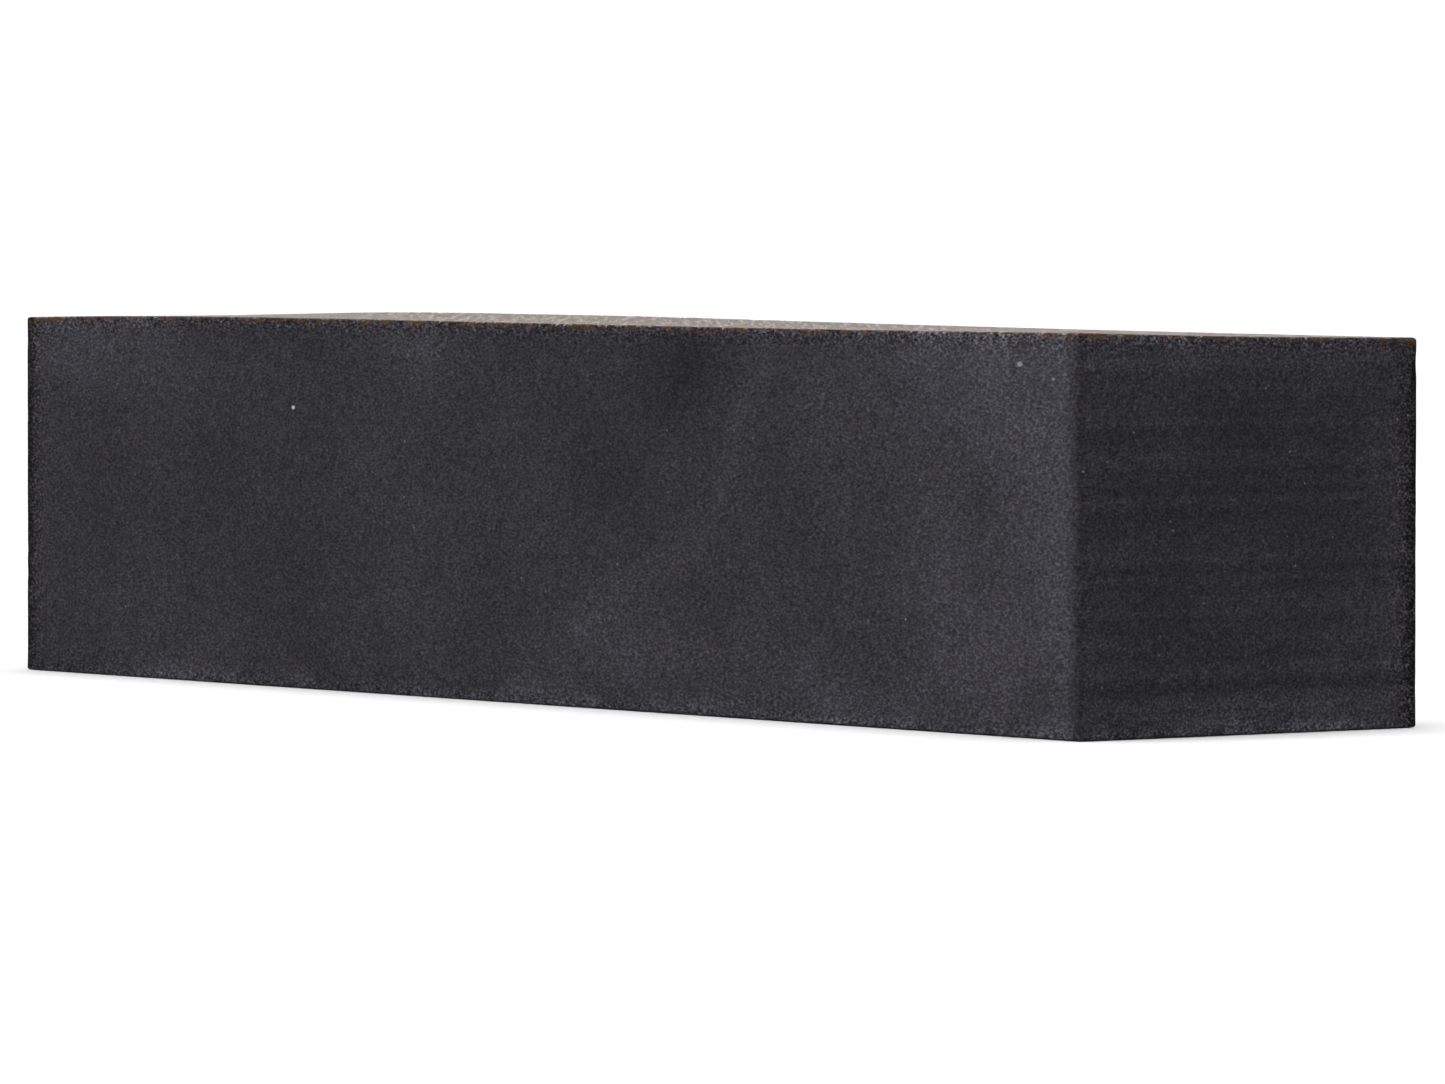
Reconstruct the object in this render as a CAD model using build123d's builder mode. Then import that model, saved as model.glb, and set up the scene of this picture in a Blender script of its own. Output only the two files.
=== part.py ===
"""Sharpening whetstone: one solid block of fine black stone, sawn to shape and flattened on its faces.

Millimetres, +Z up. The origin is the middle of the face the block rests on. +X runs along the length.
The stone has no base, backing, second grit or glue line, so the whole object is one piece.
"""

from build123d import *
import os

# The block, face to face
LENGTH = 115.0
WIDTH = 28.0
HEIGHT = 25.4

# Arrises are eased by hand so that they neither chip nor cut. Each value is the edge's radius.
UPRIGHT_ARRIS = 0.35
TOP_ARRIS = 0.25
BASE_ARRIS = 0.20


def upright_edges(block):
    """The four vertical edges at the corners of the plan."""
    return block.edges().filter_by(Axis.Z)


def rim_edges(block, side):
    """Every edge around the highest (side -1) or the lowest (side 0) face, corner arcs included."""
    return block.faces().sort_by(Axis.Z)[side].edges()


with BuildPart() as stone:
    with BuildSketch(Plane.XY):
        Rectangle(LENGTH, WIDTH)
    extrude(amount=HEIGHT)
    fillet(upright_edges(stone), radius=UPRIGHT_ARRIS)
    fillet(rim_edges(stone, side=-1), radius=TOP_ARRIS)
    fillet(rim_edges(stone, side=0), radius=BASE_ARRIS)
stone.part.label = "stone_block"

os.makedirs("parts", exist_ok=True)
export_step(stone.part, "parts/stone_block.step")
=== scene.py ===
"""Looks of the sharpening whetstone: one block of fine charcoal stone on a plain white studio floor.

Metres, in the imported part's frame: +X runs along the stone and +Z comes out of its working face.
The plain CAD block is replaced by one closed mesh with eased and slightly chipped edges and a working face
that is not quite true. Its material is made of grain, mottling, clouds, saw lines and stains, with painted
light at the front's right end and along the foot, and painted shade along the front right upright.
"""

import functools
import itertools
import math
from types import SimpleNamespace

import bpy
import numpy as np
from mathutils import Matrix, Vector


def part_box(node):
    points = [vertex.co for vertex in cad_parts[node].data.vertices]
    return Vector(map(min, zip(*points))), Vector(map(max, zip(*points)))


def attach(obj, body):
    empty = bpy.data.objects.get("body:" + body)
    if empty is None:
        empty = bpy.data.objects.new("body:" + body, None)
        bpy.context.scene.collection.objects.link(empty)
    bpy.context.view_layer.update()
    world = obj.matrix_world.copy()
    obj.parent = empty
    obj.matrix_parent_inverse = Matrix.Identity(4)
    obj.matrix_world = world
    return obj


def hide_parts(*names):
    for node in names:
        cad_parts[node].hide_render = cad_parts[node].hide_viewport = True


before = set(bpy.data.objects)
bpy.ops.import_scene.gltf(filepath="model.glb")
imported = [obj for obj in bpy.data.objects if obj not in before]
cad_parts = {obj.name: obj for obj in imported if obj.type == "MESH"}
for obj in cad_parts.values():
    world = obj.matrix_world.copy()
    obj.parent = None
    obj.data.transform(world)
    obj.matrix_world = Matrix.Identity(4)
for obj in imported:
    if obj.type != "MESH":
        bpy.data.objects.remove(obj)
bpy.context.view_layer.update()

MM = 0.001
LOW, HIGH = (np.array(corner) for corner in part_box("stone_block"))
SIZE = HIGH - LOW

# ---- Camera: low, beside the right end, with a long lens --------------------------------------------------
CAMERA_PLACE = (0.5583, -0.4364, 0.0360)
CAMERA_HEADING = 51.794    # degrees from +Y towards -X
CAMERA_TILT = 2.07         # degrees below level
CAMERA_ROLL = 0.11         # degrees anticlockwise, seen from behind the camera
CAMERA_LENS = 264          # mm on a 36 mm sensor
CAMERA_CLIP = (0.01, 100)

# ---- Mesh -------------------------------------------------------------------------------------------------
FINE_STEP = 0.08 * MM      # mesh step within EDGE_BAND of an edge
COARSE_STEP = 0.46 * MM    # mesh step on the open faces
EDGE_BAND = 0.80 * MM

# Seeds of the random draws. A noise made of several layers also uses the seeds that follow its own.
WANDER_SEED = 11
CHIP_SEED = 21
CHIP_OUTLINE_SEED = 30
FACE_WAVE_SEED = 41
SAW_SEED = 43
CLOUD_SEEDS = (51, 55)     # along the stone and upwards

# ---- Edges ------------------------------------------------------------------------------------------------
UPRIGHT_ARRIS = 0.25 * MM
HANDLED_ARRIS = 0.50 * MM  # the front right upright, which is rounder than the others
HANDLED_REACH = 2.0 * MM
TOP_ARRIS = 0.25 * MM
BASE_ARRIS = 0.20 * MM
CORNER_SHARE = 0.06        # share of the height over which an upright edge turns into a level one
WANDER = [(0.15, 6.0 * MM), (0.10, 1.6 * MM)]  # share of the radius that comes and goes, over what length

CHIP_SPACING = 7.0 * MM
CHIP_REACH = (0.25, 0.80)  # least and greatest, in mm
CHIP_DEPTH = (0.02, 0.07)  # least and greatest, as a share of the reach
CHIP_OUTLINE = 0.12 * MM   # how far a chip's outline strays from round, with bumps of CHIP_OUTLINE_SIZE
CHIP_OUTLINE_SIZE = 0.7 * MM

# ---- Faces ------------------------------------------------------------------------------------------------
FACE_WAVES = [(0.020 * MM, 18 * MM), (0.006 * MM, 2.2 * MM)]  # depth of the hollows, distance between them
SAW_DEPTH = 0.006 * MM
SAW_PITCH = 1.1 * MM
SAW_GROOVE_STRETCH = (1, 0.06, 1)

# How far the working face lies below the block's full height at its four corners
DIP_FRONT_LEFT, DIP_FRONT_RIGHT = 0.11 * MM, 0.07 * MM
DIP_BACK_LEFT, DIP_BACK_RIGHT = 0.0 * MM, 0.60 * MM
HOLLOW = 0.12 * MM         # hollow worn along the length
HOLLOW_SHIFT = 1.6         # 1 has the hollow in the middle of the length, and more has it further right
DISH = 0.07 * MM           # hollow across the width
ROLL_OFF = 0.47 * MM       # extra drop at the left end, where strokes run out
ROLL_REACH = 17.0 * MM

# ---- Clouds and painted light: (along, up, half length, half height) in mm, and how much paler each one is ---
FRONT_CLOUDS_AND_FOOT_LIGHT = [
    ((-49, 22.8, 9, 2.8), 0.30),
    ((-28, 21.5, 5, 3), 0.10),
    ((-11, 24.0, 5, 1.8), 0.30),
    ((17, 22.2, 4.0, 3.4), -0.42),
    ((9.5, 16, 5, 3.6), -0.10),
    ((33, 20.5, 3, 4), 0.12),
    ((43, 25.4, 8, 3.2), 0.30),
    ((50.0, 21, 3, 4), 0.28),
    ((-37, 0.8, 5, 1.6), 0.24),
    ((-23, 1.2, 3, 1.6), -0.16),
    ((-10, 8, 3, 2.2), -0.06),
    ((13, 4.2, 9, 3.2), 0.19),
    ((16, 11, 2.5, 3.5), -0.10),
    ((20, 6, 2.5, 2), -0.10),
    ((34, 1.2, 4, 2.0), 0.30),
    ((42, 0.5, 5, 2.0), 0.16),
    ((47.5, 14, 2.0, 2.6), -0.16),
    ((54.5, 2, 3, 3), -0.24),
    ((-38, 16, 6, 5), -0.05),
    # painted light: these last two lift the foot against the shade from the floor
    ((0, 0, 90, 5.0), 0.16),
    ((0, 0, 90, 0.9), 0.34),
]
# Long thin clouds: the (along, up) places that one runs through, its half width in mm and its paleness
WISPS = [
    ([(26.5, 25.4), (24.3, 20), (21.6, 14.5), (17, 10.4), (10.5, 8.0), (6, 4.5)], 1.3, 0.19),
    ([(32, 5.6), (29.5, 3.0)], 1.0, 0.16),
]
# Clouds of both ends, with (across, up) places. The two at up 0 are painted light that lifts the foot
# against the shade from the floor.
END_CLOUDS_AND_FOOT_LIGHT = [
    ((-8, 25.4, 8, 2.2), 0.30),
    ((4, 0, 12, 3.0), 0.34),
    ((5.5, 5.5, 8, 4), 0.15),
    ((9, 19.5, 5, 3), -0.08),
    ((0, 0, 20, 1.0), 0.37),
    ((-13, 15, 2.5, 7), -0.12),
    ((11.6, 12, 2.0, 12), 0.11),
]
PAINTED_END_HIGHLIGHT = 0.46            # painted highlight: extra paleness at the front face's right edge, which fades over the reach below
PAINTED_HIGHLIGHT_REACH = 15 * MM
PAINTED_HIGHLIGHT_FALL = 1.5
PAINTED_SHADE_STRIP = 1.75 * MM    # painted shade: width of the strip along that edge where all paleness runs out, so that the front darkens as it turns to the end
CLOUD_STRAY = 1.1          # how far in mm a cloud's outline strays, with bumps of CLOUD_STRAY_SIZE
CLOUD_STRAY_SIZE = 5 * MM
PAINTED_HIGHLIGHT_STRAY = 0.25      # share of the distance from the edge by which the painted highlight's outline strays

# ---- Marks along the edges: how strong each is at its edge, and how far it reaches ------------------------
RIM_REACH = 0.35 * MM
HALO_REACH = 2.2 * MM
GRIME_REACH, GRIME_FALL = 0.80 * MM, 1.5
# painted shade: a thin dark strip along the front right upright, where the front turns to the darker end
HANDLED_EDGE_SHADE, HANDLED_EDGE_SHADE_REACH = 0.11, 0.5 * MM
TOP_CRUMBLING_REACH = 0.75 * MM
UPRIGHT_CRUMBLING, UPRIGHT_CRUMBLING_REACH = 1.35, 1.3 * MM
BASE_CRUMBLING, BASE_CRUMBLING_REACH = 0.6, 0.5 * MM

# Oily line under the top edge, in mm. The second value of a pair is what the corners add to the first.
LINE_DROP = 0.12           # from the edge down to the line's middle
LINE_HALF_WIDTH = (0.24, 0.20)
LINE_STRENGTH = (0.85, 0.7)
LINE_LOSS_ON_END = 0.35    # share of the line that is missing on the ends
LINE_CORNER_REACH = 1.8 * MM


def fading(distance, reach, fall=2):
    """1 at no distance and about a third at the reach. A greater fall makes it drop more sharply there."""
    return np.exp(-((distance / reach) ** fall))


def gentle_step(share):
    """share from 0 to 1, with a gentle start and end."""
    return share * share * (3 - 2 * share)


def noise(points, wavelength, seed):
    """Smooth noise from -1 to 1, whose bumps are one wavelength apart."""
    period = 32
    values = np.random.default_rng(seed).uniform(-1, 1, (period,) * 3)
    place = points / wavelength
    cell = np.floor(place).astype(int)
    blend = gentle_step(place - cell)
    total = np.zeros(len(points))
    for corner in itertools.product((0, 1), repeat=3):
        i, j, k = ((cell + corner) % period).T
        total += values[i, j, k] * np.where(corner, blend, 1 - blend).prod(axis=1)
    return total


def fractal(points, wavelength, seed, octaves=3):
    """Noise with finer and fainter octaves on top."""
    return sum(noise(points, wavelength / 2**n, seed + n) / 2**n for n in range(octaves))


def stops(low, high):
    """Lattice places along one side: fine steps near both ends and coarse steps between."""
    band = np.arange(0, EDGE_BAND, FINE_STEP)
    gap = high - low - 2 * EDGE_BAND
    middle = np.linspace(low + EDGE_BAND, high - EDGE_BAND, round(gap / COARSE_STEP) + 1)
    return np.concatenate([low + band, middle, high - band[::-1]])


def box_shell():
    """Points and outward quads of the block's closed surface. Each point is made once."""
    sides = [stops(low, high) for low, high in zip(LOW, HIGH)]
    surface = np.zeros([len(s) for s in sides], bool)
    surface[[0, -1]] = surface[:, [0, -1]] = surface[:, :, [0, -1]] = True
    index = np.cumsum(surface).reshape(surface.shape) - 1
    points = np.stack([side[i] for side, i in zip(sides, np.nonzero(surface))], axis=1)
    sheets = [
        (index[-1], False), (index[0], True),
        (index[:, 0], False), (index[:, -1], True),
        (index[:, :, -1], False), (index[:, :, 0], True),
    ]
    quads = []
    for sheet, turned in sheets:
        loop = [sheet[:-1, :-1], sheet[1:, :-1], sheet[1:, 1:], sheet[:-1, 1:]]
        if turned:
            loop.reverse()
        quads.append(np.stack([corner.ravel() for corner in loop], axis=1))
    return points, np.concatenate(quads)


def arris_radius(points):
    """Edge radius near each point. It wanders, because the edges were eased by hand."""
    handled = fading(np.hypot(HIGH[0] - points[:, 0], points[:, 1] - LOW[1]), HANDLED_REACH)
    upright = UPRIGHT_ARRIS + (HANDLED_ARRIS - UPRIGHT_ARRIS) * handled
    from_middle = (points[:, 2] - LOW[2]) / SIZE[2] - 0.5
    level = np.where(from_middle > 0, TOP_ARRIS, BASE_ARRIS)
    share = (1 - (0.5 - np.abs(from_middle)) / CORNER_SHARE).clip(0, 1)
    radius = upright + (level - upright) * share
    wander = sum(part * noise(points, gap, WANDER_SEED + layer) for layer, (part, gap) in enumerate(WANDER))
    return radius * (1 + wander)


def eased(points):
    """The block's surface with rounded edges, and each point's outward direction."""
    radius = arris_radius(points)[:, None]
    core = np.clip(points, LOW + radius, HIGH - radius)
    out = points - core
    out /= np.linalg.norm(out, axis=1, keepdims=True)
    return core + out * radius, out


def side_gaps(plain):
    """Distances along X, Y and Z from each point of the plain block to its nearer side."""
    return np.minimum(plain - LOW, HIGH - plain)


def edge_gap(plain):
    """Distance from each point of the plain block to the nearest edge."""
    return np.sort(side_gaps(plain), axis=1)[:, 1]


def upright_gap(plain):
    """Distance from each point of the plain block to the nearest upright edge."""
    gaps = side_gaps(plain)
    return np.hypot(gaps[:, 0], gaps[:, 1])


def chipped(points):
    """Depth of the small chips knocked out of the edges, at each point."""
    draw = np.random.default_rng(CHIP_SEED)
    stray = [noise(points, CHIP_OUTLINE_SIZE, CHIP_OUTLINE_SEED + axis) for axis in range(3)]
    warped = points + CHIP_OUTLINE * np.stack(stray, axis=1)
    depth = np.zeros(len(points))
    for along in range(3):
        across = [axis for axis in range(3) if axis != along]
        for ends in itertools.product((0, 1), repeat=2):
            for _ in range(round(SIZE[along] / CHIP_SPACING)):
                middle = np.empty(3)
                middle[along] = draw.uniform(LOW[along], HIGH[along])
                middle[across] = [(LOW, HIGH)[end][axis] for end, axis in zip(ends, across)]
                reach = draw.uniform(*CHIP_REACH) * MM
                nearness = 1 - np.sum((warped - middle) ** 2, axis=1) / reach**2
                depth = np.maximum(depth, draw.uniform(*CHIP_DEPTH) * reach * np.sqrt(nearness.clip(0)))
    return depth


def face_wear(points, on_end):
    """Depth of the shallow hollows of every face and of the level saw grooves on the ends."""
    wear = SAW_DEPTH * on_end * (1 + noise(points * SAW_GROOVE_STRETCH, SAW_PITCH, SAW_SEED))
    for layer, (depth, gap) in enumerate(FACE_WAVES):
        wear += depth * (1 + noise(points, gap, FACE_WAVE_SEED + layer))
    return wear


def working_height(points):
    """Height of the working face over each point's place in plan, as a share of the full height."""
    u, v, _ = ((points - LOW) / SIZE).T
    front = DIP_FRONT_LEFT * (1 - u) + DIP_FRONT_RIGHT * u
    back = DIP_BACK_LEFT * (1 - u) + DIP_BACK_RIGHT * u
    dip = front * (1 - v) + back * v
    dip += HOLLOW * np.sin(np.pi * u.clip(0, 1) ** HOLLOW_SHIFT) + DISH * np.sin(np.pi * v)
    dip += ROLL_OFF * fading(points[:, 0] - LOW[0], ROLL_REACH, 1)
    return 1 - dip / SIZE[2]


def edge_masks(plain):
    """Dark grime along the edges, with only a thin strip of painted shade on the front right upright, and
    how crumbled each edge is.
    """
    gaps = side_gaps(plain)
    inward = np.minimum(gaps[:, 0], gaps[:, 1])
    upright = upright_gap(plain)
    u, v, _ = ((plain - LOW) / SIZE).T
    handled = (u > 0.5) & (v < 0.5)
    held = fading(upright, GRIME_REACH, GRIME_FALL)
    grime_and_edge_shade = np.where(handled, HANDLED_EDGE_SHADE * fading(upright, HANDLED_EDGE_SHADE_REACH), held)
    crumbled = np.max([
        fading(np.hypot(inward, HIGH[2] - plain[:, 2]), TOP_CRUMBLING_REACH),
        UPRIGHT_CRUMBLING * fading(upright, UPRIGHT_CRUMBLING_REACH) * ~handled,
        BASE_CRUMBLING * fading(np.hypot(inward, plain[:, 2] - LOW[2]), BASE_CRUMBLING_REACH),
    ], axis=0)
    return grime_and_edge_shade, crumbled


def top_stain(plain, out):
    """Thin oily line just under the top edge, strongest at the corners and fainter on the ends."""
    corner = fading(upright_gap(plain), LINE_CORNER_REACH, 1)
    half_width, strength = (value + extra * corner for value, extra in (LINE_HALF_WIDTH, LINE_STRENGTH))
    line = fading((HIGH[2] - plain[:, 2]) / MM - LINE_DROP, half_width)
    return line * strength * (1 - LINE_LOSS_ON_END * out[:, 0] ** 2) * (1 - out[:, 2].clip(0) ** 4)


def line_gap(place, start, end):
    """Distance in a plane from each place to the straight line between start and end."""
    start, end = np.array(start), np.array(end)
    along = ((place - start) @ (end - start) / np.sum((end - start) ** 2)).clip(0, 1)
    return np.linalg.norm(place - start - along[:, None] * (end - start), axis=1)


def cloudiness(place, blots):
    """Sum of soft elliptical blots at places in a face's plane."""
    pale = np.zeros(len(place))
    for (along, up, half_length, half_height), strength in blots:
        spread = ((place - (along, up)) / (half_length, half_height)) ** 2
        pale += strength * np.exp(-spread.sum(axis=1))
    return pale


def front_paleness(place, from_end):
    """Clouds and wisps of the front face, with painted light towards its right end and painted shade in a
    strip along that edge.
    """
    pale = cloudiness(place, FRONT_CLOUDS_AND_FOOT_LIGHT)
    for route, half_width, strength in WISPS:
        gap = np.min([line_gap(place, *leg) for leg in itertools.pairwise(route)], axis=0)
        pale += strength * fading(gap, half_width)
    pale += PAINTED_END_HIGHLIGHT * fading(from_end, PAINTED_HIGHLIGHT_REACH, PAINTED_HIGHLIGHT_FALL)
    return pale * gentle_step((from_end / PAINTED_SHADE_STRIP).clip(0, 1))


def clouds_and_painted_light(points, out):
    """Paleness of each upright face's clouds and painted light at each point. The back has the front's
    blots, turned half round.
    """
    stray = np.stack([fractal(points, CLOUD_STRAY_SIZE, seed) for seed in CLOUD_SEEDS], axis=1)
    place = points[:, (0, 2)] / MM + CLOUD_STRAY * stray
    turned = (0, SIZE[2] / MM) - place
    from_end = (HIGH[0] - points[:, 0]) * (1 + PAINTED_HIGHLIGHT_STRAY * stray[:, 0])
    front = front_paleness(place, from_end)
    back = cloudiness(turned, FRONT_CLOUDS_AND_FOOT_LIGHT)
    ends = cloudiness(points[:, (1, 2)] / MM + CLOUD_STRAY * stray, END_CLOUDS_AND_FOOT_LIGHT)
    return front * (-out[:, 1]).clip(0) ** 2 + back * out[:, 1].clip(0) ** 2 + ends * out[:, 0] ** 4


def worn_surface():
    """Points, quads and named masks of the visible stone."""
    plain, quads = box_shell()
    points, out = eased(plain)
    on_end = np.abs(out[:, 0]) ** 4
    points -= out * (face_wear(points, on_end) + chipped(points))[:, None]
    points[:, 2] = LOW[2] + (points[:, 2] - LOW[2]) * working_height(points)
    gap = edge_gap(plain)
    grime_and_edge_shade, crumbled = edge_masks(plain)
    masks = {
        "rim": fading(gap, RIM_REACH, 1),
        "halo": fading(gap, HALO_REACH, 1),
        "grime_and_edge_shade": grime_and_edge_shade,
        "crumbled": crumbled,
        "cloud_and_painted_light": clouds_and_painted_light(points, out),
        "top_line": top_stain(plain, out),
        "on_end": on_end,
        "on_top": out[:, 2].clip(0) ** 2,
    }
    return points, quads, masks


def build_stone():
    """The visible stone as one closed mesh object, with its masks as point attributes."""
    points, quads, masks = worn_surface()
    mesh = bpy.data.meshes.new("stone_block_surface")
    mesh.from_pydata(points.tolist(), [], quads.tolist())
    mesh.shade_smooth()
    upward = masks["on_top"][quads].mean(axis=1) > 0.5
    mesh.polygons.foreach_set("material_index", upward.astype(np.int32))
    for name, values in masks.items():
        layer = mesh.attributes.new(name, "FLOAT", "POINT")
        layer.data.foreach_set("value", values.astype(np.float32))
    stone = bpy.data.objects.new("stone_block_surface", mesh)
    bpy.context.scene.collection.objects.link(stone)
    return stone


# ---- Stone: colours and finishes --------------------------------------------------------------------------
CHARCOAL = (0.0303, 0.0292, 0.0354)
SOOTY = (0.0335, 0.0290, 0.0288)       # what charcoal turns to under grime, and faintly in the painted shade along the front right upright
PALE_GRAIN = (0.45, 0.44, 0.44)
SLURRY = (0.135, 0.126, 0.119)         # stone dust that has dried on the working face
OIL_STAIN = (0.105, 0.050, 0.018)
SAWN_AND_EASED = {"Specular IOR Level": 0.06}
LAPPED = {
    "Specular IOR Level": 0.5,
    "Sheen Weight": 0.60,
    "Sheen Roughness": 0.25,
    "Sheen Tint": (1.0, 0.93, 0.88, 1),
}

# ---- Stone: patterns --------------------------------------------------------------------------------------
# Noises: their bumps are a wavelength apart, and detail is how many layers of finer bumps lie on top
GRAIN = {"wavelength": 0.17 * MM, "detail": 1.0, "roughness": 0.6}
GRIT = {"wavelength": 0.6 * MM, "detail": 2.0, "roughness": 0.6}
MOTTLE = {"wavelength": 9.0 * MM, "detail": 4.0, "roughness": 0.55}
SAW_LINES = {"wavelength": 1.2 * MM, "detail": 2.0, "roughness": 0.5}
STAIN_PATCHES = {"wavelength": 0.7 * MM, "detail": 3.0, "roughness": 0.7}
HONING = {"wavelength": 0.3 * MM, "detail": 2.0, "roughness": 0.6}
FILM = {"wavelength": 12.0 * MM, "detail": 6.0, "roughness": 0.6}

# Dots: there is room for one in each stretch of the spacing, and a share of these places have one
PORES = {"spacing": 0.9 * MM, "radius": 0.11 * MM, "share": 0.5}
PALE_DOTS = {"spacing": 1.3 * MM, "radius": 0.10 * MM, "share": 0.20}
PALE_DOT_STRENGTH = 0.28
DOT_CORE = 0.4             # share of a dot's radius within which it is at its full strength

# Factors on X, Y and Z. One below 1 draws a pattern out along its axis.
GRAIN_STRETCH = (0.62, 0.85, 1.07)
SAW_LINE_STRETCH = (1, 0.012, 1)
STAIN_STRETCH = (0.6, 0.6, 1)
STROKE_STRETCH = (1, 0.03, 1)
SPECK_STRETCH = (0.68, 1, 1)

STROKE_TURN = math.radians(-52)   # the blade is drawn across the stone at a slant
ASKEW_TURN = math.radians(65)
ASKEW_AXIS = (0.48, 0.60, 0.64)

# Pale grains in the front face that stand out: (along, up) and radius in mm, and paleness
SPECKS = [((-25.5, 19.07), 0.15, 1.0), ((51.57, 23.28), 0.19, 0.5), ((54.8, 22.4), 0.13, 0.3)]
SPECK_FADE = 1.2           # where a speck has faded out, as a factor on its radius

# ---- Stone: tone, as what each pattern adds to the exponent of e ------------------------------------------
GRAIN_TONE, GRIT_TONE = 3.0, 0.9
END_GRAIN_TONE = 0.3
CRUMBLED_GRAIN_TONE, CRUMBLED_GRIT_TONE = 4.6, 1.9
FINE_TONE_SQUEEZE = 0.10   # share of the fine tone's square that is taken off, so that no grain is too pale
MOTTLE_TONE = 0.7
# also carries the painted highlight at the front's right end and the painted light along the foot
CLOUD_AND_PAINTED_LIGHT_TONE = 1.2
SAW_LINE_TONE = 1.12
END_HALO_TONE = 0.3
END_TONE = -0.16
PORE_TONE = -0.5
RIM_TONE = -0.1
# darkens the grime, and the painted shade along the front right upright
GRIME_AND_EDGE_SHADE_TONE = -1.6

# ---- Stone: oily line and slurry film. Each sets in between two values of its noise. ----------------------
STAIN_SETS_IN = (-0.08, 0.10)
STAIN_OPACITY = 0.8
FILM_SETS_IN = (-0.3, 0.25)
FILM_EDGE = (0.25, 0.75)   # the same for the on_top mask
FILM_EDGE_GRAIN, FILM_EDGE_GRIT = 2.5, 1.5
FILM_OPACITY = 0.40
FILM_HONING, FILM_GRIT, FILM_GRAIN = 1.1, 0.8, 0.8

# ---- Stone: roughness and relief --------------------------------------------------------------------------
ROUGHNESS = 0.8
SMOOTHEST = 0.19           # what no scratch goes below, so that none of them glints
GRIT_ROUGHNESS, GRAIN_ROUGHNESS = 0.25, 0.3
TOP_ROUGHNESS = -0.45
HONING_ROUGHNESS = 1.7
GRAIN_RELIEF, GRIT_RELIEF, SAW_LINE_RELIEF = 0.020 * MM, 0.020 * MM, 0.020 * MM
TOP_RELIEF = -0.50         # change of those three on the working face, where half of them is lapped away
HONING_RELIEF = 0.005 * MM


class Nodes:
    """Short calls that add and link the nodes of one material. Most of them return an output socket."""

    def __init__(self, tree):
        self.tree = tree

    def add(self, kind, inputs=(), **settings):
        """A new node, with its inputs linked or set."""
        node = self.tree.nodes.new(kind)
        for name, value in settings.items():
            setattr(node, name, value)
        for key, value in dict(inputs).items():
            self.feed(node.inputs[key], value)
        return node

    def feed(self, socket, value):
        """Links an output socket to an input, or sets the input to a constant."""
        if isinstance(value, bpy.types.NodeSocket):
            self.tree.links.new(value, socket)
        else:
            socket.default_value = value

    def math(self, operation, first, second):
        return self.add("ShaderNodeMath", {0: first, 1: second}, operation=operation).outputs[0]

    def exponent(self, value):
        return self.add("ShaderNodeMath", {0: value}, operation="EXPONENT").outputs[0]

    def noise(self, place, wavelength, detail, roughness):
        """Noise centred on 0, with bumps about one wavelength apart."""
        inputs = {"Vector": place, "Scale": 1 / wavelength, "Detail": detail, "Roughness": roughness}
        return self.math("SUBTRACT", self.add("ShaderNodeTexNoise", inputs).outputs["Fac"], 0.5)

    def stretched(self, place, scale):
        """place times a factor for each axis."""
        return self.add("ShaderNodeVectorMath", {0: place, 1: scale}, operation="MULTIPLY").outputs[0]

    def distance(self, place, middle):
        """How far place is from a fixed point."""
        return self.add("ShaderNodeVectorMath", {0: place, 1: middle}, operation="DISTANCE").outputs["Value"]

    def turned(self, place, angle):
        """place turned about the block's upright axis."""
        inputs = {"Vector": place, "Angle": angle}
        return self.add("ShaderNodeVectorRotate", inputs, rotation_type="Z_AXIS").outputs[0]

    def askew(self, place):
        """place turned off the block's axes, so that no row of a noise's bumps follows a face."""
        inputs = {"Vector": place, "Axis": ASKEW_AXIS, "Angle": ASKEW_TURN}
        return self.add("ShaderNodeVectorRotate", inputs, rotation_type="AXIS_ANGLE").outputs[0]

    def mask(self, name):
        """One of the mesh's point attributes."""
        return self.add("ShaderNodeAttribute", attribute_name=name).outputs["Fac"]

    def smooth(self, value, start, end):
        """0 up to start, 1 from end on, and a smooth step between. start can be the greater one."""
        inputs = {"Value": value, "From Min": start, "From Max": end}
        return self.add("ShaderNodeMapRange", inputs, interpolation_type="SMOOTHSTEP").outputs[0]

    def mix(self, factor, first, second, blend="MIX"):
        """Blend of two colours. The node's own sockets for colours are inputs 6 and 7, and output 2."""
        first, second = ((*value, 1) if isinstance(value, tuple) else value for value in (first, second))
        inputs = {0: factor, 6: first, 7: second}
        return self.add("ShaderNodeMix", inputs, data_type="RGBA", blend_type=blend).outputs[2]

    def scaled_colour(self, colour, factor):
        """colour times a grey factor."""
        grey = self.add("ShaderNodeCombineColor", {0: factor, 1: factor, 2: factor}).outputs[0]
        return self.mix(1.0, colour, grey, "MULTIPLY")

    def total(self, *terms):
        """Sum of (factor, socket) pairs."""
        products = [self.math("MULTIPLY", socket, factor) for factor, socket in terms]
        return functools.reduce(functools.partial(self.math, "ADD"), products)

    def product(self, *values):
        """Product of sockets and numbers."""
        return functools.reduce(functools.partial(self.math, "MULTIPLY"), values)

    def dots(self, place, spacing, radius, share):
        """1 at the middle of rare round dots up to radius wide. share of the cells have one."""
        cells = self.add("ShaderNodeTexVoronoi", {"Vector": place, "Scale": 1 / spacing})
        pick = self.add("ShaderNodeSeparateColor", {0: cells.outputs["Color"]}).outputs[0]
        dot = self.smooth(cells.outputs["Distance"], radius / spacing, DOT_CORE * radius / spacing)
        return self.math("MULTIPLY", dot, self.math("LESS_THAN", pick, share))


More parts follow.
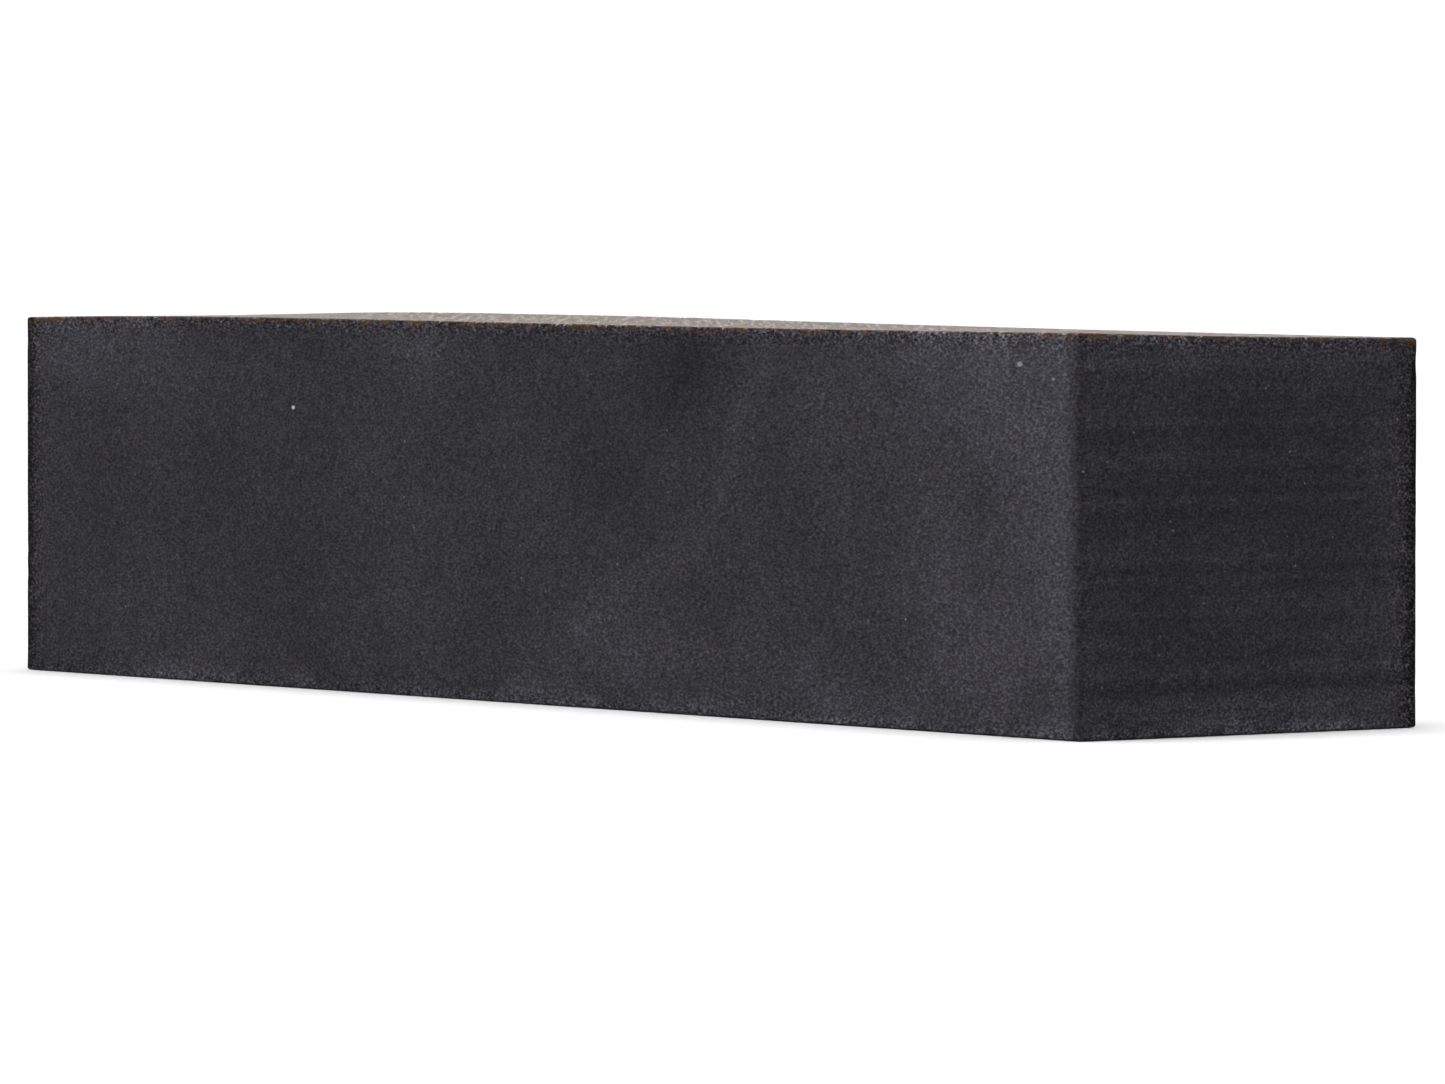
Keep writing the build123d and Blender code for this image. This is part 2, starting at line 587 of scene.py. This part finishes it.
def stone_patterns(nodes):
    """The noises and masks that more than one part of the stone's material uses."""
    place = nodes.add("ShaderNodeTexCoord").outputs["Object"]
    on_end, on_top = nodes.mask("on_end"), nodes.mask("on_top")
    honing = nodes.noise(nodes.stretched(nodes.turned(place, STROKE_TURN), STROKE_STRETCH), **HONING)
    return SimpleNamespace(
        place=place,
        on_end=on_end,
        on_top=on_top,
        grain=nodes.noise(nodes.askew(nodes.stretched(place, GRAIN_STRETCH)), **GRAIN),
        grit=nodes.noise(nodes.askew(place), **GRIT),
        saw_lines=nodes.product(nodes.noise(nodes.stretched(place, SAW_LINE_STRETCH), **SAW_LINES), on_end),
        honing=honing,
        honed_top=nodes.product(honing, on_top),
    )


def stone_shade(nodes, pattern):
    """How pale the stone is, as a factor on its colour, with painted light and painted shade in it."""
    crumbled = nodes.total((CRUMBLED_GRAIN_TONE, pattern.grain), (CRUMBLED_GRIT_TONE, pattern.grit))
    fine = nodes.total(
        (GRAIN_TONE, pattern.grain),
        (END_GRAIN_TONE, nodes.product(pattern.grain, pattern.on_end)),
        (GRIT_TONE, pattern.grit),
        (1.0, nodes.product(nodes.mask("crumbled"), crumbled)),
    )
    fine = nodes.math("SUBTRACT", fine, nodes.product(fine, fine, FINE_TONE_SQUEEZE))
    return nodes.exponent(nodes.total(
        (1.0, fine),
        (MOTTLE_TONE, nodes.noise(pattern.place, **MOTTLE)),
        (CLOUD_AND_PAINTED_LIGHT_TONE, nodes.mask("cloud_and_painted_light")),
        (SAW_LINE_TONE, pattern.saw_lines),
        (END_HALO_TONE, nodes.product(nodes.mask("halo"), pattern.on_end)),
        (END_TONE, pattern.on_end),
        (PORE_TONE, nodes.dots(pattern.place, **PORES)),
        (RIM_TONE, nodes.mask("rim")),
        (GRIME_AND_EDGE_SHADE_TONE, nodes.mask("grime_and_edge_shade")),
    ))


def pale_grains(nodes, place):
    """The rare pale grains: small ones anywhere and the front face's larger ones."""
    grains = nodes.math("MULTIPLY", nodes.dots(place, **PALE_DOTS), PALE_DOT_STRENGTH)
    stretched = nodes.stretched(place, SPECK_STRETCH)
    for (along, up), radius, paleness in SPECKS:
        middle = (SPECK_STRETCH[0] * along * MM, LOW[1], up * MM)
        gap = nodes.distance(stretched, middle)
        speck = nodes.smooth(gap, SPECK_FADE * radius * MM, DOT_CORE * radius * MM)
        grains = nodes.math("MAXIMUM", grains, nodes.math("MULTIPLY", speck, paleness))
    return grains


def bare_colour(nodes, pattern, shade):
    """Colour of the stone with its grime, painted light and shade, pale grains and oily line, but without
    the film on its top.
    """
    colour = nodes.scaled_colour(nodes.mix(nodes.mask("grime_and_edge_shade"), CHARCOAL, SOOTY), shade)
    colour = nodes.mix(pale_grains(nodes, pattern.place), colour, PALE_GRAIN)
    patches = nodes.noise(nodes.stretched(pattern.place, STAIN_STRETCH), **STAIN_PATCHES)
    patches = nodes.smooth(patches, *STAIN_SETS_IN)
    return nodes.mix(nodes.product(patches, nodes.mask("top_line"), STAIN_OPACITY), colour, OIL_STAIN)


def slurry_film(nodes, pattern):
    """How much of the stone the dried film hides. It lies on the working face, with a ragged outline."""
    cover = nodes.smooth(nodes.noise(pattern.place, **FILM), *FILM_SETS_IN)
    ragged = nodes.total((FILM_EDGE_GRAIN, pattern.grain), (FILM_EDGE_GRIT, pattern.grit))
    reach = nodes.math("ADD", pattern.on_top, nodes.product(pattern.on_top, ragged))
    reach = nodes.smooth(reach, *FILM_EDGE)
    streaks = nodes.total(
        (FILM_HONING, pattern.honing),
        (FILM_GRIT, pattern.grit),
        (FILM_GRAIN, pattern.grain),
    )
    return nodes.product(cover, reach, nodes.math("ADD", FILM_OPACITY, streaks))


def stone_roughness(nodes, pattern):
    """Rough stone, smoother on the working face, where honing has left shinier and duller scratches."""
    change = nodes.total(
        (GRIT_ROUGHNESS, pattern.grit),
        (GRAIN_ROUGHNESS, pattern.grain),
        (TOP_ROUGHNESS, pattern.on_top),
        (HONING_ROUGHNESS, pattern.honed_top),
    )
    return nodes.math("MAXIMUM", nodes.math("ADD", ROUGHNESS, change), SMOOTHEST)


def stone_relief(nodes, pattern):
    """Surface direction with the relief of grains, saw lines and honing scratches."""
    kept = nodes.math("ADD", 1.0, nodes.math("MULTIPLY", pattern.on_top, TOP_RELIEF))
    height = nodes.total(
        (GRAIN_RELIEF, pattern.grain),
        (GRIT_RELIEF, pattern.grit),
        (SAW_LINE_RELIEF, pattern.saw_lines),
    )
    scratches = nodes.math("MULTIPLY", pattern.honed_top, HONING_RELIEF)
    height = nodes.math("ADD", nodes.product(kept, height), scratches)
    return nodes.add("ShaderNodeBump", {"Height": height, "Strength": 1.0, "Distance": 1.0}).outputs[0]


def stone_material(name, finish):
    """Fine charcoal stone with saw lines on its ends, an oily line under the top edge and a dusty top."""
    material = bpy.data.materials.new(name)
    material.use_nodes = True
    tree = material.node_tree
    tree.nodes.clear()
    nodes = Nodes(tree)
    pattern = stone_patterns(nodes)
    shade = stone_shade(nodes, pattern)
    bare, dusty = bare_colour(nodes, pattern, shade), nodes.scaled_colour(SLURRY, shade)
    surface = {
        "Base Color": nodes.mix(slurry_film(nodes, pattern), bare, dusty),
        "Roughness": stone_roughness(nodes, pattern),
        "Normal": stone_relief(nodes, pattern),
    }
    shader = nodes.add("ShaderNodeBsdfPrincipled", {**surface, **finish})
    nodes.add("ShaderNodeOutputMaterial", {"Surface": shader.outputs[0]})
    return material


# ---- Studio -----------------------------------------------------------------------------------------------
FLOOR_RADIUS = 40.0
FLOOR_SIDES = 96
FLOOR_GAP = 0.02 * MM
FLOOR_FINISH = {"Base Color": (0.93, 0.93, 0.93, 1), "Roughness": 0.9, "Specular IOR Level": 0.1}

HORIZON_GLOW = (1.25, 1.12, 1.04)   # light from eye level all round, which the camera sees as pure white
UPPER_ROOM = (0.14, 0.142, 0.15)
GLOW_FADES = (0.05, 0.12)           # sines of the heights between which the glow turns into the room

CEILING_SPREAD = math.radians(40)
CEILING_STRENGTH = 3.3
KEY_PLACE = (-0.35, -0.9, 0.55)
KEY_TARGET = (0, 0, 0.012)
KEY_SIZE = 0.5
KEY_POWER = 3.0


def build_floor():
    """A wide plain disc, a hair below the stone's resting face."""
    turns = np.linspace(0, 2 * math.pi, FLOOR_SIDES, endpoint=False)
    level = LOW[2] - FLOOR_GAP
    ring = [(FLOOR_RADIUS * math.cos(turn), FLOOR_RADIUS * math.sin(turn), level) for turn in turns]
    mesh = bpy.data.meshes.new("studio_floor")
    mesh.from_pydata(ring, [], [list(range(len(ring)))])
    floor = bpy.data.objects.new("studio_floor", mesh)
    bpy.context.scene.collection.objects.link(floor)
    material = bpy.data.materials.new("white_floor")
    material.use_nodes = True
    shader = material.node_tree.nodes["Principled BSDF"]
    for name, value in FLOOR_FINISH.items():
        shader.inputs[name].default_value = value
    mesh.materials.append(material)


def build_room():
    """World light: a bright band all round at the horizon and a dimmer room above it."""
    world = bpy.data.worlds.new("studio")
    bpy.context.scene.world = world
    world.use_nodes = True
    world.node_tree.nodes.clear()
    nodes = Nodes(world.node_tree)
    direction = nodes.add("ShaderNodeTexCoord").outputs["Generated"]
    up = nodes.add("ShaderNodeSeparateXYZ", {0: direction}).outputs["Z"]
    colour = nodes.mix(nodes.smooth(up, *GLOW_FADES), HORIZON_GLOW, UPPER_ROOM)
    background = nodes.add("ShaderNodeBackground", {"Color": colour, "Strength": 1.0})
    nodes.add("ShaderNodeOutputWorld", {"Surface": background.outputs[0]})


def add_light(data, place, target):
    """Puts a light at a place, facing the target."""
    light = bpy.data.objects.new(data.name, data)
    light.location = place
    light.rotation_euler = (Vector(target) - Vector(place)).to_track_quat("-Z", "Y").to_euler()
    bpy.context.scene.collection.objects.link(light)
    return light


def build_lights():
    """A wide light from straight above, which makes no highlights, and a weak softbox at the front left."""
    ceiling = bpy.data.lights.new("ceiling", "SUN")
    ceiling.angle = CEILING_SPREAD
    ceiling.energy = CEILING_STRENGTH
    add_light(ceiling, (0, 0, 2), (0, 0, 0)).visible_glossy = False
    key = bpy.data.lights.new("key", "AREA")
    key.shape = "SQUARE"
    key.size = KEY_SIZE
    key.energy = KEY_POWER
    add_light(key, KEY_PLACE, KEY_TARGET).visible_camera = False


def build_camera():
    camera = bpy.data.objects.new("camera", bpy.data.cameras.new("camera"))
    camera.data.lens = CAMERA_LENS
    camera.data.clip_start, camera.data.clip_end = CAMERA_CLIP
    camera.location = CAMERA_PLACE
    camera.rotation_euler = [math.radians(a) for a in (90 - CAMERA_TILT, -CAMERA_ROLL, CAMERA_HEADING)]
    bpy.context.scene.collection.objects.link(camera)
    bpy.context.scene.camera = camera


build_camera()
build_room()
build_floor()
build_lights()

stone = build_stone()
stone.data.materials.append(stone_material("charcoal_stone", SAWN_AND_EASED))
stone.data.materials.append(stone_material("working_face", LAPPED))
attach(stone, "root")
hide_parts("stone_block")

bpy.context.scene.view_settings.view_transform = "Standard"
